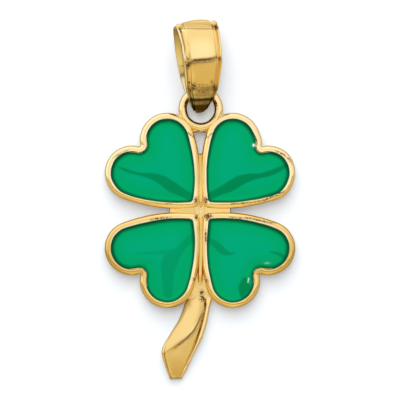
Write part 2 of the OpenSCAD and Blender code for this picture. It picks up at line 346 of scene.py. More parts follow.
# Pits in the rims: centre x, centre y, half width, half height and strength.
rim_spots = [
    (0.52, -0.42, 0.24, 0.20, 1.6),
    (0.40, -1.75, 0.06, 0.34, 1.5),
    (0.45, -4.78, 0.12, 0.16, 0.8),
    (-0.26, -0.42, 0.10, 0.18, 1.6),
    (-0.42, -4.68, 0.10, 0.12, 0.8),
    (-0.30, 0.72, 0.09, 0.17, 1.5),
    (0.40, 0.72, 0.11, 0.17, 1.6),
]

# Thin dark lines along the rims, each a path of x, y and strength, drawn as pits with brown oxide;
# the two on the head side of the upper leaves' outer lobes are painted dark reflections.
rim_lines = [
    [(2.04, -0.45, 0.5), (2.55, -0.50, 0.8), (3.11, -0.50, 0.8), (3.74, -0.59, 1.0), (4.42, -0.76, 0.8),
     (5.10, -0.90, 0.4)],
    [(-1.90, -0.47, 0.3), (-2.40, -0.49, 0.7), (-3.00, -0.55, 0.8), (-3.40, -0.63, 0.3)],
    [(-1.90, 0.45, 0.4), (-2.60, 0.47, 0.5), (-3.70, 0.56, 0.2)],
    [(2.10, 0.43, 0.6), (2.90, 0.50, 0.7), (3.60, 0.56, 0.4), (4.40, 0.72, 0.7), (5.70, 1.30, 0.7)],
    [(5.17, 4.05, 0.5), (5.64, 3.84, 0.8), (6.05, 3.50, 0.6), (6.26, 3.16, 0.3)],
    [(3.60, 5.27, 0.3), (3.84, 4.86, 0.6), (3.88, 4.45, 0.5)],
    [(-5.90, 3.59, 0.3), (-5.40, 3.86, 0.6), (-4.86, 4.13, 0.3)],
    [(-0.89, 5.34, 0.6), (-0.26, 4.85, 0.6)],
    [(0.99, 5.34, 0.6), (0.34, 4.86, 0.6)],
]

# Where handling has moved the outline: centre x, centre y, half width, half height and the shift.
hand_work = [
    (3.75, 4.50, 0.60, 0.60, 0.20, 0.00),
    (5.00, 1.15, 1.50, 0.60, 0.03, -0.11),
    (6.00, 3.90, 0.50, 0.70, 0.03, 0.02),
    (0.05, 2.20, 0.80, 2.00, 0.05, 0.00),
    (0.05, -1.70, 0.80, 2.30, 0.09, 0.00),
    (-4.30, 1.20, 1.60, 0.50, 0.00, -0.06),
    (-3.40, -0.90, 1.50, 0.50, 0.00, -0.05),
]


def hand_worked(flat):
    """Points as hand work has left them: each place adds its own shift, as a soft spot. Points are
    complex."""
    moved = flat
    for *place, shift_x, shift_y in hand_work:
        moved = moved + (shift_x + 1j * shift_y) * spot(flat.real, flat.imag, *place)
    return moved


rim_crest = 0.13
rim_inner_r = 0.10
rim_outer_r = 1.2 * rim_round
rim_sag = 0.008
rim_sway = 0.010
rim_crest_w = 0.055
crack_w = 0.06

# Places along Y and how strong a painted shade is there: the rims' outer sides, and beside the middle line.
low_rim_shade = ([-6.6, -5.6, -4.2, -2.7, -1.6, -0.4, -0.3], [0.30, 0.32, 0.55, 0.95, 0.6, 0.3, 0])
middle_line_shade = ([-1.2, -0.8, 1.2, 2.0], [0.9, 0.2, 0.1, 0.7])


def leaf_cup(name, turn, seed):
    """A closed cup: rows run from the middle of its floor up the cell's wall, over the rim, down the
    outside and back to the middle underneath. The rim's top is two quarter ellipses, a tight one
    inside its crest and a wide one outside. A painted shade of deeper gold lies on the lower leaves'
    outer sides and beside the middle line, and painted highlights lie along the inner crests and on
    the upper leaves' outer sides."""
    inner = np.linspace(np.pi, np.pi / 2, 12)
    outer = np.linspace(np.pi / 2, 0, 22)[1:]
    over_out = [rim_crest * (1 + np.cos(inner)), rim_crest + (rim_w - rim_crest) * np.cos(outer)]
    over_z = [rim_h + rim_inner_r * (np.sin(inner) - 1), rim_h + rim_outer_r * (np.sin(outer) - 1)]
    out = np.concatenate([[0, 0, 0], *over_out, [rim_w, rim_w, rim_w - 0.02, rim_w - 0.06]])
    high = np.concatenate([[floor_t, 0.8, 1.0], *over_z, [0.8, 0.06, 0.015, 0]])
    rows = heart(out, corner_at(out))
    sway = unevenness(rows.shape[1], seed, rim_sway)
    sag = unevenness(rows.shape[1], seed + 40, rim_sag)
    handled = np.clip((high - 0.9) / 0.3, 0, 1)[:, None]
    away = rows - crown_at
    rows = rows + away / np.abs(away) * sway * handled * np.linspace(1, 0.2, len(out))[:, None]
    high = high[:, None] + (sag - rim_sag) * handled
    inside = crown_at + (rows[0] - crown_at) * np.array([0, 0.4, 0.8])[:, None]
    under = crown_at + (rows[-1] - crown_at) * np.array([0.8, 0.4, 0])[:, None]
    flat = hand_worked(np.concatenate([inside, rows, under]) * np.exp(1j * turn))
    level = np.concatenate([np.full(inside.shape, floor_t), high, np.zeros(under.shape)])
    x, y = flat.real, flat.imag
    far_out = np.clip((np.abs(x) - 0.7) / 0.8, 0, 1)
    # Painted shade beside the middle line, where the rims meet.
    middle_shade = np.clip((0.36 - np.abs(x)) / 0.14, 0, 1) * np.interp(y, *middle_line_shade)
    inner_bars = np.clip((0.9 - np.abs(x)) / 0.3, 0, 1)
    at_out = np.concatenate([np.full(3, -1.0), out, np.full(3, 9.0)])[:, None]
    crest = bell((at_out - rim_crest) / rim_crest_w) * (level > 1.2)
    # Painted highlights: pale lines along the inner crests, and a pale wash on the upper leaves' outer
    # sides.
    edge_light = np.maximum(np.interp(y, [-2.4, -1.5], [0.15, 0.85]), 0.85 * inner_bars)
    edge_light = edge_light * (1 - 0.6 * far_out * (y > 0) * np.clip((1.7 - y) / 0.6, 0, 1))
    upper_highlight = 0.30 * np.clip((y - 1.4) / 0.8, 0, 1) * far_out * (level > 1.1)
    pits = np.maximum(smudge(x, y, rim_spots), scratched(x, y, rim_lines, crack_w))
    marks = {
        "mark": pits * np.clip((level - 1.0) / 0.1, 0, 1),
        "tone": np.maximum(np.interp(y, *low_rim_shade) * far_out, middle_shade),
        "bright": np.maximum(edge_light * crest, upper_highlight),
    }
    marks = {title: value[::-1] for title, value in marks.items()}
    grid = np.stack([x, y, level], axis=-1)
    return to_mesh(name, grid[::-1], marks)


polished_gold = gold("polished gold", waves=1.2, grain=0.28, polish=0.09)

cups = [leaf_cup(f"cup_{leaf}", turn, i) for i, (leaf, turn) in enumerate(leaf_turns.items())]
leaf_cups = joined("leaf_cups", cups)
leaf_cups.data.materials.append(polished_gold)
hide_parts("clover_frame")
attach(leaf_cups, "root")


# Webs.
# Plain gold plates between the leaves, cast with them and lower than the rims. They keep the fine
# grain of the mould, and the metal creeps up a little where it meets a rim.

web_h = 0.95
side_web_len = 2.12
top_web_len = 3.9
stem_web_rise = 0.58
stem_web_len = (lobe_at * np.exp(1j * leaf_turns["upper_right"])).imag + lobe_r + rim_w - stem_web_rise

middle = heart(rim_w / 2, corner_at(rim_w / 2))[0]
middle_count = tip_steps + side_steps + lobe_steps


def half_gap(side, along):
    """Half the width of a web at each distance along it, out to the middle of the rims beside it,
    read off the middle line of the upper right rim; side is 1 for a web along Y and -1 along X."""
    run = middle[-middle_count:][::-1] if side > 0 else middle[:middle_count]
    run = run * np.exp(1j * leaf_turns["upper_right"])
    out, aside = (run.imag, run.real) if side > 0 else (run.real, run.imag)
    rising = out == np.maximum.accumulate(out)
    return np.interp(along, out[rising], aside[rising])


web_spots = [
    (0.12, -5.62, 0.12, 0.20, 1.3),
    (0.16, -5.98, 0.12, 0.16, 1.6),
]

# Places along Y and how strong the painted shade on the webs, sunk between the rims, is there.
web_shade = ([-5.5, -4.5, -1.0, -0.5, 0.5, 1.4, 2.2, 3.5], [0.0, 0.35, 0.6, 0.4, 0.35, 0.15, 0.5, 0.7])
web_fill = 0.28
web_fill_run = 3.4
web_lip = 0.08
web_steps = 150
bar_w = 0.34
bar_h = 1.34


def capped(grid):
    """The grid with a row added at each end, all of it at the middle of the row beside it."""
    first, last = [np.broadcast_to(row.mean(0), row.shape) for row in (grid[0], grid[-1])]
    return np.concatenate([first[None], grid, last[None]])


def web(name, side, direction, back, reach, top, bar):
    """A plate along one direction, from -back to reach: round each station go the top, raised at both
    sides as a sixth power of the share across, and the flat underside; both ends round off and drop,
    and away from them the metal fills the valley a little higher.
    bar gives, for places along it, the height of a rounded bar along its middle."""
    drop = np.array([0, 0.018, 0.068, 0.15, 0.55, 1.2])
    inset = np.array([0.04, 0.02, 0.005, 0, 0, 0])
    plain = np.linspace(0.05 - back, reach - 0.05, web_steps)
    run = np.concatenate([inset[::-1] - back, plain, reach - inset])
    fall = np.concatenate([drop[::-1], np.zeros(web_steps), drop])
    spread = np.linspace(-1, 1, 61)
    share = np.concatenate([spread, [1, 0.5, -0.5, -1]])
    wide = half_gap(side, np.abs(run))[:, None]
    raised = np.interp(run, *zip(*bar))[:, None] - top
    from_ends = np.minimum((reach - run) / min(web_fill_run, reach), (run + back - 0.1) / 0.7)
    filled = web_fill * np.clip(from_ends, 0, 1)[:, None]
    over = top + filled + web_lip * spread**6
    over = np.maximum(over, top + raised * np.exp(-((np.abs(wide * spread) / (bar_w / 2)) ** 4)))
    level = np.concatenate([np.maximum(over - fall[:, None], 0), np.zeros((len(run), 4))], axis=1)
    near_end = np.clip(1 - np.minimum(reach - run, run + back) / 0.4, 0, 1) * np.sign(run)
    bow = 0.05 * (1 - share**2) * near_end[:, None]
    flat = hand_worked((run[:, None] - bow + wide * share * 1j) * direction)
    grid = capped(np.stack([flat.real, flat.imag, level], axis=-1))
    x, y = grid[..., 0], grid[..., 1]
    marks = {
        "mark": smudge(x, y, web_spots) * (grid[..., 2] > 0.7),
        "tone": np.interp(y, *web_shade),
        # Painted highlight: a small pale four-pointed star where the webs cross.
        "bright": bell((np.sqrt(np.abs(x - 0.07)) + np.sqrt(np.abs(y + 0.07))) / 0.42),
    }
    marks = {title: value[:, ::-1] for title, value in marks.items()}
    return to_mesh(name, grid[:, ::-1], marks)


bar_along = [
    (-4.3, 0.9), (-3.7, bar_h), (-0.6, bar_h), (-0.2, 1.22), (0.2, 1.22), (0.6, bar_h),
    (4.5, bar_h), (5.2, 0.9),
]
bar_across = [(-1.6, 0.8), (1.6, 0.8)]
web_meshes = [
    web("long_web", 1, -1j, top_web_len, stem_web_len, web_h, bar_along),
    web("cross_web", -1, 1, side_web_len, side_web_len, web_h - 0.03, bar_across),
]
webs = joined("webs", web_meshes)
satin_gold = gold("grained gold", waves=0.5, grain=0.6, polish=0.20)
webs.data.materials.append(satin_gold)
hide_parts("clover_frame")
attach(webs, "root")


# Soldered ring.
# A closed ring of round gold wire, sunk a little into the two upper rims and held by a bar of
# solder in the valley between them. The solder keeps its lumpy, grainy skin.

ring_bore = 1.86
wire_d = 0.59
ring_lift = 1.06
ring_sink = 0.305
ring_off = 0.05
solder_w = 0.35
solder_l = 1.3
solder_proud = 0.06
solder_power = 0.55
ring_r = (ring_bore + wire_d) / 2
inner_lobe = lobe_at * np.exp(1j * leaf_turns["upper_right"])
ring_seat = lobe_r + rim_w + ring_bore / 2 + wire_d - ring_sink
ring_y = inner_lobe.imag + np.sqrt(ring_seat**2 - inner_lobe.real**2)
solder_y = ring_y - ring_r - wire_d / 2 - solder_proud + solder_w / 2


def full_turn(count):
    """Angles once round in even steps."""
    return np.linspace(0, 2 * np.pi, count, endpoint=False)


wire_spots = [
    (1.05, 7.40, 0.15, 0.36, 1.4),
    (0.98, 6.4, 0.14, 0.2, 0.5),
    (-0.97, 7.38, 0.13, 0.34, 1.4),
]
ring_steps = 160
wire_steps = 60


def wire_ring(name):
    """Ring of round wire: one angle goes round the ring and the other round the wire. The wire is
    a little thicker and thinner along the ring; a brown painted dark reflection runs round its inner
    shoulder, its inner face has a painted shade, and its outer top a painted highlight."""
    about = full_turn(ring_steps)[:, None]
    around = full_turn(wire_steps)[None, :]
    thicker = unevenness(ring_steps, 77, 0.006)[:, None]
    lumps = thicker + 0.02 * np.sin(7 * about) * np.cos(2 * around + about)
    thick = wire_d / 2 * (0.985 + lumps)
    far = ring_r + thick * np.cos(around)
    x = ring_off + far * np.cos(about)
    y = ring_y + far * np.sin(about)
    z = ring_lift + thick * np.sin(around) + 0 * about
    # Painted dark reflection on the inner shoulder, and painted shade on the inner face.
    shoulder = bell((np.cos(around) + 0.66) / 0.20) * (np.sin(around) > -0.2)
    line = shoulder * (0.90 + 0.10 * np.cos(about - np.radians(190)))
    inner = 0.35 * (np.cos(around) < -0.8) + 0 * about
    # Tone is the painted dark reflection and shade; bright is a painted highlight on the outer top.
    marks = {
        "mark": smudge(x, y, wire_spots) * (np.cos(around) < -0.2),
        "tone": np.maximum(line, inner),
        "bright": 0.4 * bell((np.cos(around) - 0.35) / 0.30) * (np.sin(around) > 0) + 0 * about,
    }
    return to_mesh(name, np.stack([x, y, z], axis=-1), marks, ring=True)


def solder_bar(name):
    """Rounded lump: a superellipsoid, whose sines and cosines are raised to a power under one, with
    small waves and frozen beads along its top."""
    about = full_turn(ring_steps)[None, :]
    tilt = np.linspace(-np.pi / 2, np.pi / 2, wire_steps)[:, None]
    rippled = 1 + 0.05 * np.sin(9 * about + 1) * np.cos(tilt) + 0.04 * np.sin(17 * about) * np.cos(tilt) ** 2
    half = np.array([solder_l / 2, solder_w / 2 + 0.03, (ring_lift + 0.02) / 2])
    bent = [np.cos(tilt), np.sin(tilt), np.cos(about), np.sin(about)]
    level, up, x, y = [np.sign(b) * np.abs(b) ** solder_power for b in bent]
    lump = np.stack([half[0] * level * x * rippled, half[1] * level * y * rippled, half[2] * up + 0 * x], -1)
    frozen = np.sin(31 * lump[..., 0] + 2) * np.sin(27 * lump[..., 1] + 19 * lump[..., 0])
    lump[..., 2] += 0.035 * frozen * (lump[..., 2] > 0.3)
    lump[..., 2] += 0.14 * (lump[..., 2] > 0.3)
    grid = lump + np.array([0, solder_y, half[2] + 0.005])
    mark = 0.10 + 0.70 * (frozen < -0.45)
    return to_mesh(name, grid, {"mark": mark})


ring = joined("soldered_ring", [wire_ring("wire"), solder_bar("solder")])
# Brown of the ring's painted shade and dark reflection.
shoulder_shade_brown = (0.085, 0.038, 0.006, 1)
grainy_gold = gold("grainy gold", waves=2.2, grain=0.7, polish=0.12, toned=shoulder_shade_brown)
ring.data.materials.append(grainy_gold)
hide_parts("clover_frame")
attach(ring, "root")


# Stem.
# A carved gold stem that grows out of the lower web and curves to the left. A bright facet runs
# down from the root and sweeps to the left edge, a duller one lies below it, and a groove sets off
# a strand on the right.

stem_len = 5.68
stem_root = 0.26
stem_y = stem_root - stem_web_len

# Share of the stem's length, then across: left edge, right edge, crest and groove; then the crest's
# height and how steeply the lower facet falls from it.
stem_lines = np.array([
    [0.000, -0.62, 0.88, 0.18, 0.30, 0.97, 0.10],
    [0.030, -0.84, 0.86, 0.20, 0.31, 1.00, 0.10],
    [0.070, -1.00, 0.80, 0.20, 0.32, 1.03, 0.12],
    [0.120, -1.10, 0.69, 0.18, 0.32, 1.07, 0.14],
    [0.170, -1.15, 0.64, 0.14, 0.29, 1.10, 0.16],
    [0.220, -1.29, 0.59, 0.07, 0.23, 1.12, 0.18],
    [0.310, -1.50, 0.50, -0.15, 0.11, 1.16, 0.20],
    [0.410, -1.88, 0.34, -0.43, -0.04, 1.18, 0.20],
    [0.510, -2.20, 0.16, -0.95, -0.21, 1.19, 0.20],
    [0.580, -2.48, -0.04, -1.54, -0.34, 1.18, 0.18],
    [0.650, -2.62, -0.26, -2.12, -0.49, 1.16, 0.16],
    [0.690, -2.63, -0.38, -2.42, -0.59, 1.12, 0.14],
    [0.750, -2.55, -0.54, -2.38, -0.76, 1.03, 0.13],
    [0.820, -2.42, -0.72, -2.27, -0.95, 0.93, 0.12],
    [0.890, -2.30, -0.90, -2.16, -1.16, 0.83, 0.12],
    [0.970, -2.12, -1.18, -1.99, -1.38, 0.71, 0.12],
    [1.000, -2.04, -1.25, -1.90, -1.43, 0.62, 0.12],
])
stem_softness = (0.045, 0.035, 0.030, 0.020, 0.022, 0.022)
stem_rough = [(0.14, -6.00, 0.16, 0.22, 1.0), (0.36, -6.45, 0.09, 0.2, 1.0)]
stem_shade = [(-0.80, -6.25, 0.20, 0.36, 0.75)]


def eased(at, knots, values, soft):
    """Straight lines through the knots, then rounded: the mean of the line over a short window on
    either side of each place, so that corners turn gently."""
    window = np.linspace(-soft, soft, 9)
    spread = np.clip(at[:, None] + window, knots[0], knots[-1])
    return np.interp(spread, knots, values).mean(1)


def stem_marks(grid, share, left, crest, groove):
    """Where the stem is pitted, where shade is painted and where highlights are painted: lines and
    bands, each a bell curve or a straight rise of the distance across from its groove, crest or left
    edge, whose strength changes with the share of the length. The painted shade lies in the groove,
    along the crease, at the root, along the left margin and strip and at the lower end; the painted
    highlights lie beside the crest, on the lower facet, on the strand and beside the strip."""
    x, y, z = grid[..., 0], grid[..., 1], grid[..., 2]
    down = (stem_y - y) / stem_len
    from_left, from_crest, from_groove = [x - np.interp(down, share, line) for line in (left, crest, groove)]
    # Pits and painted shade in the groove; below, painted shade along the crease, root, margin and strip.
    carved = bell(from_groove / np.interp(down, [0.40, 0.55], [0.042, 0.070]))
    depth_at = [0, 0.05, 0.20, 0.31, 0.43, 0.55, 0.60, 0.67, 0.84, 0.92, 1]
    sunken = carved * np.interp(down, depth_at, [0.3, 0.4, 0.5, 0.75, 0.8, 0.6, 0.5, 0.45, 0.5, 0.2, 0.1])
    pitted = carved * np.interp(down, depth_at, [0.3, 0.5, 0.25, 0.4, 0.4, 0.2, 0.1, 0.1, 0.15, 0.1, 0.1])
    crease_left = np.interp(down, [0.20, 0.42, 0.52], [0.08, 0.10, 0.24])
    crease_right = np.interp(down, [0.20, 0.45, 0.53], [0.10, 0.12, 0.18])
    aside = from_crest - np.interp(down, [0.2, 0.3, 0.5, 0.6], [0.03, 0.07, 0.07, 0.03])
    crease = bell(aside / np.where(aside > 0, crease_right, crease_left))
    crease = crease * np.interp(down, [0.12, 0.24, 0.5, 0.54, 0.6, 0.66], [0.2, 0.95, 1.0, 0.80, 0.35, 0.05])
    root_fall = np.clip((from_crest + 0.32) / 0.30, 0, 1) * (from_crest < 0.03)
    root_fall = root_fall * np.interp(down, [0.04, 0.12, 0.28, 0.36], [0, 0.42, 0.40, 0])
    margin_w = np.interp(down, [0, 0.06, 0.13, 0.20, 0.40], [0.60, 0.44, 0.30, 0.25, 0.15])
    margin = np.exp(-((from_left / margin_w) ** 4))
    margin = margin * np.interp(down, [0, 0.13, 0.2, 0.5, 0.6], [0.45, 0.75, 0.75, 0.5, 0])
    from_strip = from_left - np.interp(down, [0.70, 0.85, 1], [0.19, 0.16, 0.14])
    strip = bell(from_strip / 0.045) * np.interp(down, [0.57, 0.60, 0.66, 0.72], [0, 0.2, 0.6, 0.65])
    lower_shade = np.interp(down, [0.75, 0.95], [0, 0.28]) * np.clip(-from_groove / 0.04, 0, 1)
    lower_shade = lower_shade * np.clip(from_strip / 0.10, 0, 1)
    # Painted highlights beside the crest, on the lower facet, on the strand and beside the strip.
    lit = bell((from_crest + 0.12) / 0.08) * np.interp(down, [0.36, 0.42, 0.5, 0.60], [0, 0.3, 0.3, 0])
    facet = np.clip((from_crest - 0.10) / 0.12, 0, 1) * np.clip(-from_groove / 0.08, 0, 1)
    facet = facet * np.interp(down, [0.25, 0.40, 0.70, 0.85], [0, 0.35, 0.30, 0])
    strand = np.clip(from_groove / 0.10, 0, 1) * np.interp(down, [0, 0.1, 0.6, 1], [0.0, 0.12, 0.1, 0.0])
    inner_light = np.interp(down, [0.62, 0.67, 0.9, 1], [0, 0.55, 0.45, 0.2])
    inner_light = bell((from_strip - 0.11) / 0.04) * inner_light
    shade = smudge(x, y, stem_shade)
    above = z > 0.2
    return {
        "mark": np.maximum(pitted, smudge(x, y, stem_rough)) * above,
        "tone": strongest(crease, sunken, root_fall, margin, strip, lower_shade, shade) * above,
        "bright": strongest(lit, facet, inner_light, strand) * above,
    }


def stem_mesh(name):
    """Sections across the stem at even steps of its length, each a line from the right foot over the
    strand, down into the groove, up the lower facet to the crest and over the bright facet to the left
    foot, with its corners rounded as the mean over a short window."""
    share = np.concatenate([np.linspace(0, 0.985, 170), 1 - 0.015 * (1 - np.linspace(0, 1, 10)) ** 2])
    places, *lines = stem_lines.T
    columns = [eased(share, places, line, soft) for line, soft in zip(lines, stem_softness)]
    left, right, crest, groove, top, fall = columns
    top = top - 0.35 * np.clip((share - 0.985) / 0.015, 0, 1) ** 2
    edge = np.interp(share, [0, 0.12, 0.6, 0.7, 1], [0.90, 0.97, 0.99, 1.0, 0.98]) * top
    strip = np.interp(share, [0.60, 0.70], [0, 1])
    facet = groove - crest
    wall = np.maximum(top - fall * facet, 0.3)
    bead = np.interp(share, [0, 0.1, 0.5, 1], [0.97, 1.04, 1.05, 0.72]) * np.minimum(1, top / 0.97)
    bead = np.minimum(bead, wall + 0.06)
    shallow = np.interp(share, [0.50, 0.75, 0.97], [1.0, 0.7, 0.15])
    gap = right - groove
    run = crest - left
    soft_crest = np.interp(share, [0.35, 0.50, 0.56, 0.66, 0.70], [0.05, 0.10, 0.015, 0.015, 0.05])
    across = [
        (right - 0.10, 0 * top),
        (right - 0.004, 0.03 * top),
        (right, 0.35 * top),
        (right, bead - 0.16),
        (right - 0.22 * gap, bead - 0.03),
        (right - 0.45 * gap, bead),
        (right - 0.72 * gap, bead - 0.03),
        (groove + 0.10 * gap, bead - 0.16 * shallow),
        (groove, wall - 0.20 * shallow),
        (groove - 0.12 * facet - 0.01, wall - 0.03),
        (groove - 0.3 * facet - 0.015, top - 0.72 * fall * facet),
        (crest + 0.3 * facet, top - 0.30 * fall * facet),
        (crest + soft_crest, top - 0.045 - 0.02 * strip),
        (crest, top - 0.02 - 0.04 * strip),
        (crest - soft_crest, top + 0.01 * strip),
        (crest - 0.35 * run, 0.65 * top + 0.35 * edge + 0.03 * strip),
        (left + 0.22 * run, 0.15 * top + 0.85 * edge + 0.01 * strip),
        (left + 0.05, edge - 0.03),
        (left, edge - 0.16),
        (left, 0.3 * edge),
        (left + 0.004, 0.03 * edge),
        (left + 0.10, 0 * top),
    ]
    corners = np.array(across).transpose(1, 2, 0)
    last = len(across) - 1
    fine = np.linspace(0, last, 190)
    part = np.clip(fine[:, None] + np.linspace(-0.4, 0.4, 7), 0, last)
    first = np.minimum(part.astype(int), last - 1)
    rest = part - first
    x, z = (corners[..., first] * (1 - rest) + corners[..., first + 1] * rest).mean(-1)
    y = (stem_y - share * stem_len)[:, None] + 0 * x
    grid = capped(np.stack([x, y, z], axis=-1))
    marks = stem_marks(grid, share, left, crest, groove)
    return to_mesh(name, grid, marks)


# Brown of the stem's painted shade.
carved_shade_brown = (0.33, 0.19, 0.022, 1)
stem = joined("stem", [stem_mesh("stem")])
stem.data.materials.append(gold("carved gold", waves=0.6, grain=0.12, polish=0.12, toned=carved_shade_brown))
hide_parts("clover_frame")
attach(stem, "root")


# Enamel.
# Glossy green enamel fills each cup to just below the rim, with a low crown; it was laid with a
# fine brush in two coats. Deeper green streaks in its colour are painted dark reflections.

enamel_lap = 0.07
enamel_sink = 0.19
enamel_crown = 0.11
enamel_creep = 0.20
enamel_creep_w = 0.13
enamel_waver = 0.014
leaf_reach = 1.9
ripple_depth = 0.00004

# Painted dark reflections in each leaf: how dark each streak is, then its path as x, y and half width.
reflection_streaks = {
    "upper_left": [
        (0.85, [
            (-5.54, 2.96, 0.05), (-4.90, 2.69, 0.11), (-4.09, 2.47, 0.10), (-3.20, 2.31, 0.24),
            (-2.52, 2.02, 0.34), (-1.84, 1.56, 0.37), (-1.16, 1.20, 0.28), (-0.49, 0.82, 0.28),
        ]),
    ],
    "upper_right": [
        (0.95, [
            (0.55, 0.90, 0.26), (1.35, 1.31, 0.27), (2.03, 1.63, 0.36), (2.71, 2.03, 0.35),
            (3.38, 2.25, 0.26), (4.06, 2.36, 0.17), (4.73, 2.53, 0.19), (5.41, 2.82, 0.16),
            (5.95, 3.13, 0.10),
        ]),
    ],
    "lower_left": [
        (0.42, [
            (-0.40, -1.75, 0.26), (-0.95, -2.21, 0.24), (-1.46, -2.80, 0.30), (-2.05, -3.50, 0.55),
            (-2.20, -4.40, 0.42), (-2.18, -5.70, 0.30),
        ]),
        (0.30, [(-1.50, -2.75, 0.16), (-2.60, -2.86, 0.14), (-4.28, -2.92, 0.03)]),
    ],
    "lower_right": [
        (0.65, [
            (0.60, -2.0, 0.14), (1.13, -2.35, 0.24), (1.50, -2.72, 0.24), (1.90, -2.92, 0.14),
            (2.40, -2.90, 0.03),
        ]),
        (0.75, [(4.80, -2.80, 0.06), (5.41, -2.99, 0.12), (5.95, -3.30, 0.13)]),
        (0.95, [(3.05, -4.75, 0.20), (3.02, -5.2, 0.42), (3.0, -5.7, 0.30)]),
    ],
}
# Painted white glints on the enamel: centre x, centre y, half width, half height and strength.
enamel_glints = [
    (3.65, 4.44, 0.065, 0.085, 1.6),
    (3.30, -4.66, 0.040, 0.055, 1.0),
    (3.27, -4.82, 0.035, 0.070, 1.0),
    (4.58, -3.57, 0.150, 0.050, 0.28),
    (4.46, -3.60, 0.060, 0.040, 0.30),
]


def through(points, count):
    """Smooth line through given points: between each two neighbours a cubic whose slope at a point
    is half the way between the points on either side of it."""
    at = np.array(points)
    padded = np.concatenate([2 * at[:1] - at[1:2], at, 2 * at[-1:] - at[-2:-1]])
    slope = (padded[2:] - padded[:-2]) / 2
    t = (np.arange(count) / count)[:, None, None]
    a, b, u, v = at[:-1], at[1:], slope[:-1], slope[1:]
    bent = a + t * u + t**2 * (3 * (b - a) - 2 * u - v) + t**3 * (2 * (a - b) + u + v)
    return np.concatenate([bent.transpose(1, 0, 2).reshape(-1, at.shape[1]), at[-1:]])


def s_curve(share):
    """Eases a share from 0 to 1: three times its square less twice its cube."""
    return share * share * (3 - 2 * share)


def streak_share(x, y, points):
    """How much a point lies in a streak of painted dark reflection: its distance to the smooth line,
    less the half width there, turned into a soft edge."""
    far, wide = from_path(x, y, through(points, 8))
    return s_curve(np.clip((wide - far) / 0.12 + 0.5, 0, 1))


def enamel_mesh(name, turn):
    """A closed low dome in a leaf's outline: rings shrink towards the leaf's middle while the height
    rises as one less the square of the share, with the edge drawn up onto the rim's inner shoulder,
    a little further at some places than at others. A point's way to the edge is that to the nearest
    point of the outermost ring, and a thin painted shade along the wall fades with it, slower at the
    head and on the outer side of a leaf."""
    edge = heart(enamel_lap, corner_at(0))[0] - crown_at
    edge = edge * (1 + unevenness(len(edge), len(name) + 7, enamel_waver) / np.abs(edge))
    share = 1 - np.linspace(0, 1, 80) ** 1.5
    near = (1 - share) * leaf_reach
    draw_up = enamel_creep * np.exp(-((near / enamel_creep_w) ** 1.4))
    high = rim_h - enamel_sink + enamel_crown * (1 - share**2) + draw_up
    under = [0, 0.5, 1]
    share = np.concatenate([under, share])
    high = np.concatenate([[floor_t] * len(under), high])
    flat = hand_worked((crown_at + edge * share[:, None]) * np.exp(1j * turn))
    x, y = flat.real, flat.imag
    z = np.broadcast_to(high[:, None], x.shape)
    darker = strongest(*[depth * streak_share(x, y, path) for depth, path in reflection_streaks[name]])
    outermost = flat[len(under)]
    to_edge = np.abs(flat[..., None] - outermost).min(-1)
    # Painted shade along the wall, wider and darker where the edge faces the head or the leaf's outer side.
    facing = edge * np.exp(1j * turn) / np.abs(edge)
    shaded = np.maximum(np.clip(facing.imag, 0, 1), np.clip(facing.real * np.sign(x.mean()), 0, 1))
    fade = np.clip((to_edge - 0.06) / (0.15 + 0.15 * shaded), 0, 1)
    wall = (0.84 + 0.11 * shaded) * (1 - s_curve(fade))
    marks = {"dark_reflection": darker, "to_edge": to_edge * mm, "wall": wall, "painted_glint": smudge(x, y, enamel_glints)}
    return to_mesh(name, np.stack([x, y, z], axis=-1), marks)


# Enamel greens; the deeper ones are painted dark reflection and painted shade, the white painted glints.
rim_green = (0.0, 0.358, 0.119, 1)
teal_green = (0.0, 0.368, 0.176, 1)
reflection_green = (0.0, 0.218, 0.068, 1)
wall_shade_green = (0.0, 0.06, 0.02, 1)
glint_white = (0.95, 1.0, 0.97, 1)


def green_enamel():
    """Opaque green enamel under a clear skin. Base colour: teal in the middle of a leaf and more
    yellow near its rim, deeper green in streaks of painted dark reflection and in a thin painted shade
    along the wall, with a few painted white glints."""
    made, tree, shader = new_material("green enamel")
    dark_reflection, to_edge, wall, painted_glint = [attribute(tree, title) for title in ("dark_reflection", "to_edge", "wall", "painted_glint")]
    place = node(tree, "ShaderNodeTexCoord").outputs["Object"]
    inner = maths(tree, "ADD", smooth_step(tree, to_edge, 0.0, 0.0016), -0.45)
    inner = maths(tree, "MULTIPLY_ADD", noise(tree, place, 420.0, 1.0), 0.7, inner, clamp=True)
    colour = blend(tree, inner, rim_green, teal_green)
    # Painted dark reflections, then painted shade along the wall, then painted glints.
    colour = blend(tree, dark_reflection, colour, reflection_green)
    colour = blend(tree, wall, colour, wall_shade_green)
    colour = blend(tree, painted_glint, colour, glint_white)
    ripple = bumped(tree, noise(tree, place, 500.0, 1.0), ripple_depth)
    fill(shader, {"Base Color": colour, "Normal": ripple, "Roughness": 0.07})
    fill(shader, {"Specular IOR Level": 0.22, "Specular Tint": (0.05, 1.0, 0.7, 1)})
    return made


enamel_green = green_enamel()
for leaf, turn in leaf_turns.items():
    enamel = joined(f"enamel_{leaf}_glossy", [enamel_mesh(leaf, turn)])
    enamel.data.materials.append(enamel_green)
    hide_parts(f"enamel_{leaf}")
    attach(enamel, "root")


# Bail.
# A tapered band of gold bent into a long loop and closed at its narrow end, which hangs in the ring.
# Its front has a raised panel between two bevelled borders with bead edges; the tip is left rough.

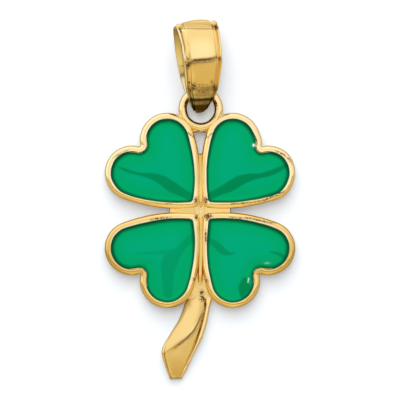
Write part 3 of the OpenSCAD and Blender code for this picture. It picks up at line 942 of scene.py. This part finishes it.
bail_len = 6.42
bail_apex_d = 1.9
bail_tip_d = 1.3
bail_side_r = 5.5
bail_w = 2.95
bail_t = 0.27
bail_yaw = np.radians(14)
bail_roll = np.radians(2.8)
bail_tilt = np.radians(16.55)
face_depth = 0.25
panel_swell = 0.10
head_swell = 0.16
head_rise = 0.10
above_table = 0.002
bail_slack = 0.93
bail_lift = 0.929
apex_r = bail_apex_d / 2
point_r = bail_tip_d / 2
apex_at = bail_len - apex_r - point_r
bail_y = ring_y + ring_bore / 2 - bail_slack - bail_t + point_r
leg_at = across_both(0j, bail_side_r - point_r, apex_at + 0j, bail_side_r - apex_r)
leg_start = np.angle(-leg_at)
leg_end = np.angle(apex_at - leg_at)

# Each by share of the length from the narrow end: the front leg's share of the full width, how many
# mm its middle is shifted to the right, and the back leg's share of the front leg's width.
band_front = [
    (0, 0.28), (0.05, 0.37), (0.11, 0.48), (0.175, 0.61), (0.27, 0.745),
    (0.35, 0.80), (0.41, 0.83), (0.57, 0.905), (0.73, 0.94), (0.80, 0.935), (0.89, 0.96), (1, 0.97),
]
band_shift = [(0.1, -0.09), (0.2, -0.04), (0.4, -0.04), (0.57, 0.04), (0.8, 0.06), (1, 0.0)]
band_back = [(0, 1), (0.1, 0.90), (0.2, 0.80), (0.28, 0.80), (0.57, 0.86), (0.73, 0.92), (0.89, 1), (1, 1)]


def loop_places():
    """Places round the loop seen from the side, as complex points, and the outward way at each: arcs
    round the narrow end, up the front, over the broad end and down the back."""
    pieces = [
        (0j, point_r, np.pi, leg_start, 20),
        (leg_at, bail_side_r, leg_start, leg_end, 90),
        (apex_at + 0j, apex_r, leg_end, -leg_end, 48),
        (np.conj(leg_at), bail_side_r, -leg_end, -leg_start, 60),
        (0j, point_r, -leg_start, -np.pi, 20),
    ]
    at = np.concatenate([arc(*piece) for piece in pieces])
    way = np.concatenate([arc(0j, 1.0, *piece[2:]) for piece in pieces])
    return at, way


def band_section():
    """Half widths and depths below the middle of the panel, from the right edge over the front to the
    left edge and back along the inner face: a flat panel, a bevel each side and a bead at each edge."""
    half = [
        (1.00, 0.24), (1.00, 0.16), (0.99, 0.105), (0.965, 0.075), (0.93, 0.070), (0.905, 0.095),
        (0.885, 0.170), (0.86, 0.205), (0.83, 0.175), (0.76, 0.130), (0.70, 0.110), (0.67, 0.085),
        (0.645, 0.020), (0.61, 0.004), (0.35, 0.001), (0.0, 0.0),
    ]
    right = np.array(half)
    left = right[-2::-1] * [-1, 1]
    inner = [(-0.985, 0.34), (-0.9, 0.36), (-0.5, 0.31), (0, 0.27), (0.5, 0.31), (0.9, 0.36), (0.985, 0.34)]
    corners = np.concatenate([right, left, inner, right[:1]])
    fine = np.arange(0, len(corners) - 1, 0.30)
    spread = (fine[:, None] + np.linspace(-0.3, 0.3, 5)) % (len(corners) - 1)
    knots = np.arange(len(corners))
    return np.stack([np.interp(spread, knots, corners[:, c]).mean(1) for c in (0, 1)], axis=1)


def laid(x, along, depth):
    """The bail's own frame turned about its length, tilted, leaned and moved onto the ring."""
    across = x * np.cos(bail_yaw) + depth * np.sin(bail_yaw)
    front = depth * np.cos(bail_yaw) - x * np.sin(bail_yaw)
    up = along * np.cos(bail_tilt) - front * np.sin(bail_tilt)
    z = along * np.sin(bail_tilt) + front * np.cos(bail_tilt)
    leaned = (across + 1j * up) * np.exp(1j * bail_roll)
    return np.stack([leaned.real, bail_y + leaned.imag, z + bail_lift], axis=-1)


# Pits, painted glints, lines and a painted shade line on the bail, laid out as those of the rims are.
bail_spots = [
    (-0.66, 9.98, 0.20, 0.09, 1.6),
    (-0.82, 9.82, 0.12, 0.18, 1.6),
    (-0.45, 8.40, 0.20, 0.28, 0.8),
    (0.95, 8.30, 0.14, 0.26, 0.9),
    (1.17, 12.42, 0.10, 0.16, 0.9),
    (-0.74, 8.66, 0.07, 0.22, 0.8),
    (0.10, 8.54, 0.55, 0.06, 0.45),
    (0.80, 8.62, 0.06, 0.20, 0.9),
    (-0.66, 8.14, 0.08, 0.20, 0.9),
    (-0.08, 8.22, 0.08, 0.12, 0.7),
    (0.24, 8.02, 0.18, 0.06, 0.7),
    (0.56, 8.24, 0.08, 0.12, 0.8),
]
bail_glints = [
    (-0.34, 8.02, 0.09, 0.07, 0.9),
    (0.76, 8.02, 0.11, 0.12, 1.0),
    (-0.52, 8.42, 0.07, 0.05, 0.6),
    (0.36, 8.42, 0.07, 0.05, 0.5),
]
bail_step = [[(-0.66, 7.74, 0.5), (0.10, 7.66, 1.0), (0.62, 7.72, 0.4)]]
bail_tip_lines = [
    [(-0.66, 7.60, 0.9), (0.05, 7.50, 1.0), (0.50, 7.56, 0.5)],
    [(-0.30, 7.14, 0.8), (0.35, 7.16, 0.8)],
]
bail_lines = [
    [(0.98, 10.36, 0.6), (1.12, 10.36, 0.9)],
    [(1.24, 10.30, 0.6), (1.50, 10.17, 0.9)],
    [(-1.42, 12.38, 0.9), (-1.26, 12.08, 1.0)],
]
bail_cut = [
    [(-0.50, 10.12, 0.6), (-0.35, 10.16, 1.0), (0.10, 10.20, 1.0), (0.65, 10.25, 0.9), (0.95, 10.34, 0.5)],
]
back_leg_shade_line = [[(-1.50, 9.88, 1.0), (-1.02, 9.80, 1.0)]]

# Places along Y on the bail and how dark its outer face is there: painted shade at the narrow end
# that wraps the ring, and brown tarnish on the rough zone above it.
tip_darkening = [
    (6.60, 0.60), (6.75, 0.70), (6.85, 1.00), (7.15, 1.00), (7.23, 0.50), (7.38, 0.50), (7.45, 1.00),
    (7.58, 1.00), (7.66, 0.25), (8.05, 0.28), (8.36, 0.32), (8.50, 0.10), (10.0, 0.0),
]


def bail_marks(x, y, along, on_back, half, depth):
    """Where the bail is pitted, darkened and lit. Its narrow end darkens, as painted shade where it wraps
    the ring and as tarnish on its rough zone; painted shade darkens the top of the loop, lines beside
    the panel, its left edge face and the back leg's inner face; a cut and two dark lines near the
    narrow end darken the front; and painted highlights lie on its bead edges, a step, a few glints
    and the back leg's inner sides. Lines and beads are bell curves of the share across."""
    outer = depth < face_depth
    front = ~on_back * outer
    inside = on_back * ~outer
    flaws = np.maximum(smudge(x, y, bail_spots), scratched(x, y, bail_lines, 0.07))
    rough = np.interp(y, [7.60, 7.75, 7.95, 8.10, 8.36, 8.50], [0.28, 0.12, 0.14, 0.34, 0.34, 0.0])
    tip_dark = np.interp(y - 0.06 * x, *zip(*tip_darkening))
    # Painted shade over the top of the loop, with a darker line where it begins.
    dome = np.clip((y - 12.32) / 0.06, 0, 1) * np.interp(y, [12.50, 12.70, 12.82], [0.38, 0.30, 0.10])
    dome = np.maximum(dome, 0.70 * bell((y - 12.31) / 0.045))
    cuts = np.maximum(scratched(x, y, bail_cut, 0.085), scratched(x, y, bail_tip_lines, 0.075))
    # Painted shade lines beside the panel, and painted shade on the left edge face.
    line_at = [0.20, 0.39, 0.52, 0.60, 0.70, 0.78, 1.00]
    left_line = np.interp(along, line_at, [0.40, 0.42, 0.60, 0.10, 0.10, 0.60, 0.65])
    left_line = bell((half + 0.85) / 0.035) * left_line
    right_line = bell((half - 0.85) / 0.030) * np.interp(along, [0.2, 0.5, 1.0], [0.4, 0.15, 0.35])
    edge_face = 0.85 * ((depth > 0.12) & (half < -0.97))
    # Painted highlights on the bead edges, wider on part of the left border, and faint ones at the panel's
    # edges.
    lit_border = np.interp(along, [0.56, 0.62, 0.70, 0.76], [0, 1, 1, 0])
    left_bead = bell((half + 0.945 - 0.035 * lit_border) / (0.045 + 0.045 * lit_border))
    left_bead = left_bead * np.interp(along, [0.2, 0.36, 1.0], [0.4, 1.0, 0.9])
    right_bead = bell((half - 0.945) / 0.03) * np.interp(along, [0.3, 0.5, 1.0], [0.2, 0.5, 0.6])
    step = 0.25 * bell((np.abs(half) - 0.63) / 0.03) * (along > 0.5)
    edges = strongest(left_bead, right_bead, step)
    edges = edges * np.where(depth < 0.15, 1, lit_border * (half < 0))
    # Painted glints, and a painted highlight along a step near the narrow end.
    glints = np.maximum(smudge(x, y, bail_glints), scratched(x, y, bail_step, 0.05))
    # Painted highlight on the back leg's inner sides, fading towards the top of the loop.
    leg_light = np.interp(y, [9.9, 10.8, 11.4, 12.5], [0.6, 0.25, 0.10, 0.0])
    leg_light = leg_light * np.clip((np.abs(half) - 0.62) / 0.2, 0, 1)
    # Painted shade on the back leg's inner face, and a painted shade line on it.
    inside_shade = np.interp(y, [9.9, 10.8, 11.4, 12.0, 12.5], [0.22, 0.36, 0.52, 0.62, 0.50])
    back_line = scratched(x, y, back_leg_shade_line, 0.045) * on_back
    front_shade_and_cuts = strongest(left_line, right_line, edge_face, cuts) * front
    return {
        "mark": strongest(flaws, rough, scratched(x, y, bail_cut, 0.055)) * front,
        "tone": strongest(tip_dark * outer, dome * outer, front_shade_and_cuts, back_line, inside_shade * inside),
        "bright": strongest(edges * front, glints * front, leg_light * inside),
    }


def bail_mesh(name):
    """The band's section carried round the loop: its width follows the taper and its depth is
    measured inwards along the loop's own outward way. The panel swells as a square across, most at the
    broad end, and the back leg is plain."""
    at, way = loop_places()
    share = np.clip((at.real + point_r) / bail_len, 0, 1)
    wide = np.interp(share, *zip(*band_front))
    on_back = at.imag < 0
    wide = bail_w / 2 * np.where(on_back, wide * np.interp(share, *zip(*band_back)), wide)
    section = band_section()
    half, depth = section[:, 0], section[:, 1]
    outer = depth < face_depth
    crown = np.clip(way.real, 0, 1) ** 2
    swell = (panel_swell + head_swell * crown)[:, None] * half**2 * outer
    rise = head_rise * crown[:, None] * outer
    plain_back = np.clip(-0.5 - 1.5 * way.imag, 0, 1)[:, None]
    back_inside = bail_t - 0.14 * np.clip((np.abs(half) - 0.62) / 0.38, 0, 1)
    back_depth = np.where(outer, 0.2 * depth, back_inside)
    inward = (depth + swell - rise) * (1 - plain_back) + back_depth * plain_back
    line = at[:, None] - way[:, None] * inward
    shift = np.interp(share, *zip(*band_shift)) * ~on_back
    grid = laid(wide[:, None] * half + shift[:, None], line.real, line.imag)
    grid[..., 2] = np.maximum(grid[..., 2], above_table)
    marks = bail_marks(grid[..., 0], grid[..., 1], share[:, None], on_back[:, None], half, depth)
    return to_mesh(name, grid, marks, ring=True)


bead_spots = [
    (-1.26, 12.32, 0.09, 0.16, 1.3),
    (-1.08, 12.18, 0.06, 0.10, 1.1),
    (1.13, 12.50, 0.08, 0.10, 1.3),
]


def bead(name, centre, half):
    """Small rounded bead: a ball with its own half size along each axis, pitted beside the band."""
    tilt = np.linspace(-np.pi / 2, np.pi / 2, 24)[:, None]
    about = full_turn(36)[None, :]
    level = np.cos(tilt)
    ball = np.stack([level * np.cos(about), level * np.sin(about), np.sin(tilt) + 0 * about], -1)
    grid = np.array(centre) + ball * np.array(half)
    pitted = np.maximum(0.1, smudge(grid[..., 0], grid[..., 1], bead_spots))
    return to_mesh(name, grid, {"mark": pitted})


# Colour of the bail's painted shade and of the tarnish at its narrow end, then of its painted highlights.
olive_shade_and_tarnish = (0.12, 0.07, 0.010, 1)
warm_painted_highlight = (1.0, 0.90, 0.60, 1)
beads = [
    bead("left_bead", (-1.40, 12.44, 2.55), (0.30, 0.24, 0.24)),
    bead("right_bead", (0.93, 12.68, 2.62), (0.24, 0.21, 0.22)),
]
bail = joined("tapered_bail", [bail_mesh("band"), *beads])
bail.data.materials.append(gold("bail gold", 0.5, 0.14, 0.11, toned=olive_shade_and_tarnish, flashing=warm_painted_highlight))
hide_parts("bail")
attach(bail, "root")


# White table.
# A wide board of milky white acrylic, faintly lit from below, that the pendant lies on, face up. It
# isn't part of the pendant.

table_half = 3.0
table_drop = 2e-6
table_mesh = bpy.data.meshes.new("white_table")
corners = np.array([[-1, -1, 0], [1, -1, 0], [1, 1, 0], [-1, 1, 0]]) * table_half - [0, 0, table_drop]
table_mesh.from_pydata(corners.tolist(), [], [[0, 1, 2, 3]])
table = linked("white_table", table_mesh)
board, board_tree, board_shader = new_material("matt white board")
board_place = node(board_tree, "ShaderNodeTexCoord").outputs["Object"]
board_cloud = noise(board_tree, board_place, 30.0)
board_cast = blend(board_tree, board_cloud, (0.80, 0.83, 0.88, 1), (0.82, 0.85, 0.89, 1))
board_axes = node(board_tree, "ShaderNodeSeparateXYZ", {"Vector": board_place}).outputs
# To glossy rays the board shows a dim warm brown, a painted shade for the pendant's own shadow in what the
# gold mirrors, and a lighter warm tone beyond the bail's head.
board_head = smooth_step(board_tree, board_axes["Y"], 0.0135, 0.0160)
board_mirrored_shade = blend(board_tree, board_head, (0.36, 0.29, 0.17, 1), (0.80, 0.68, 0.44, 1))
board_ray = node(board_tree, "ShaderNodeLightPath").outputs["Is Glossy Ray"]
board_tone = blend(board_tree, board_ray, board_cast, board_mirrored_shade)
fill(board_shader, {"Base Color": board_tone, "Roughness": 0.9, "Specular IOR Level": 0.1})
fill(board_shader, {"Emission Color": (0.98, 1.0, 1.02, 1), "Emission Strength": 0.19})
table_mesh.materials.append(board)


# Studio.
# A light tent as the gold mirrors it: its wall is a warm, dim front, a dark slit, a white top and a
# brilliant head side. Matt surfaces get even white light, and two soft lamps add the shadows.


def glow(tree, colour, strength):
    """Output of plain light from the tent's wall."""
    return node(tree, "ShaderNodeBackground", {"Color": colour, "Strength": strength}).outputs[0]


tent = bpy.data.worlds.new("light tent")
tent.use_nodes = True
bpy.context.scene.world = tent
sky = tent.node_tree
look = node(sky, "ShaderNodeTexCoord").outputs["Generated"]
axes = node(sky, "ShaderNodeSeparateXYZ", {"Vector": look}).outputs
upward = maths(sky, "MAXIMUM", axes["Z"], 0.02)
towards_head = maths(sky, "DIVIDE", axes["Y"], upward)
towards_right = maths(sky, "DIVIDE", axes["X"], upward)
towards_left = times(sky, towards_right, -1.0)

# Bands across the tent from the stem's side to the bail's: where each starts, where it is full and
# its colour. Then patches over them, each a share and a colour.
tent_bands = [
    (-3.00, -1.80, (0.78, 0.62, 0.30, 1)),
    (-1.50, -0.80, (0.74, 0.59, 0.30, 1)),
    (-0.39, -0.35, (0.08, 0.05, 0.02, 1)),
    (-0.30, -0.26, (0.97, 0.91, 0.80, 1)),
    (0.60, 1.20, (1.22, 1.14, 1.02, 1)),
    (3.00, 5.00, (1.16, 1.02, 0.72, 1)),
]
mirrored = (0.52, 0.41, 0.20, 1)
for low, high, tint in tent_bands:
    mirrored = blend(sky, smooth_step(sky, towards_head, low, high), mirrored, tint)
ray = node(sky, "ShaderNodeLightPath").outputs
near_middle = smooth_step(sky, maths(sky, "ABSOLUTE", towards_right), 0.50, 0.25)
above_slit = smooth_step(sky, towards_head, -0.28, -0.20)
panel_right = maths(sky, "POWER", maths(sky, "SUBTRACT", towards_right, 0.50), 2.0)
panel_up = maths(sky, "POWER", maths(sky, "ADD", towards_head, 0.05), 2.0)
off_panel = smooth_step(sky, maths(sky, "ADD", panel_right, panel_up), 0.0, 0.20)
tent_patches = [
    (times(sky, smooth_step(sky, towards_head, -0.50, -0.80), near_middle, 0.8), (0.98, 0.84, 0.50, 1)),
    (times(sky, smooth_step(sky, towards_left, 0.8, 1.6), above_slit, 0.8), (1.35, 1.30, 1.22, 1)),
    (times(sky, smooth_step(sky, towards_right, 1.2, 3.0), above_slit, 0.6), (0.80, 0.70, 0.52, 1)),
    (times(sky, maths(sky, "SUBTRACT", 1.0, off_panel), above_slit), (1.10, 1.08, 1.16, 1)),
    (maths(sky, "MINIMUM", ray["Diffuse Depth"], 1.0), (0.50, 0.65, 1.15, 1)),
]
for share, tint in tent_patches:
    mirrored = blend(sky, share, mirrored, tint)
white = (1.0, 1.0, 1.0, 1)
by_gloss = {0: ray["Is Glossy Ray"], 1: glow(sky, white, 0.42), 2: glow(sky, mirrored, 1.0)}
unseen = node(sky, "ShaderNodeMixShader", by_gloss).outputs[0]
by_camera = {0: ray["Is Camera Ray"], 1: unseen, 2: glow(sky, white, 1.0)}
wall = node(sky, "ShaderNodeMixShader", by_camera).outputs[0]
fill(sky.nodes["World Output"], {"Surface": wall})


def soft_lamp(name, place, size, watts):
    """Square soft white lamp that faces the pendant and isn't seen in the gold."""
    lamp = bpy.data.lights.new(name, "AREA")
    lamp.size = size
    lamp.energy = watts
    stand = linked(name, lamp)
    away = np.array(place) / np.linalg.norm(place)
    stand.location = place
    stand.rotation_mode = "QUATERNION"
    stand.rotation_quaternion = Vector(away).to_track_quat("Z", "Y")
    stand.visible_glossy = False


soft_lamp("overhead_lamp", (-0.01, 0.06, 0.50), 0.16, 0.42)
soft_lamp("head_lamp", (-0.03, 0.30, 0.46), 0.44, 2.00)


# Camera.
# Straight above the pendant, which lies with its bail towards the top of the picture. The picture
# is 27.2 mm wide on the pendant, and the clover's middle lies a little below the picture's middle.

picture_mm = 27.2
picture_px = 400
middle_px = 210.5
height_m = 0.5
scale_plane_m = 0.0012
sensor_mm = 36
camera_data = bpy.data.cameras.new("camera")
camera_data.sensor_width = sensor_mm
camera_data.lens = sensor_mm * (height_m - scale_plane_m) / (picture_mm * mm)
camera_data.clip_start = 0.01
camera_data.clip_end = 20
camera = linked("camera", camera_data)
camera.location = (0, (middle_px - picture_px / 2) * picture_mm / picture_px * mm, height_m)
bpy.context.scene.camera = camera
bpy.context.scene.view_settings.view_transform = "Standard"
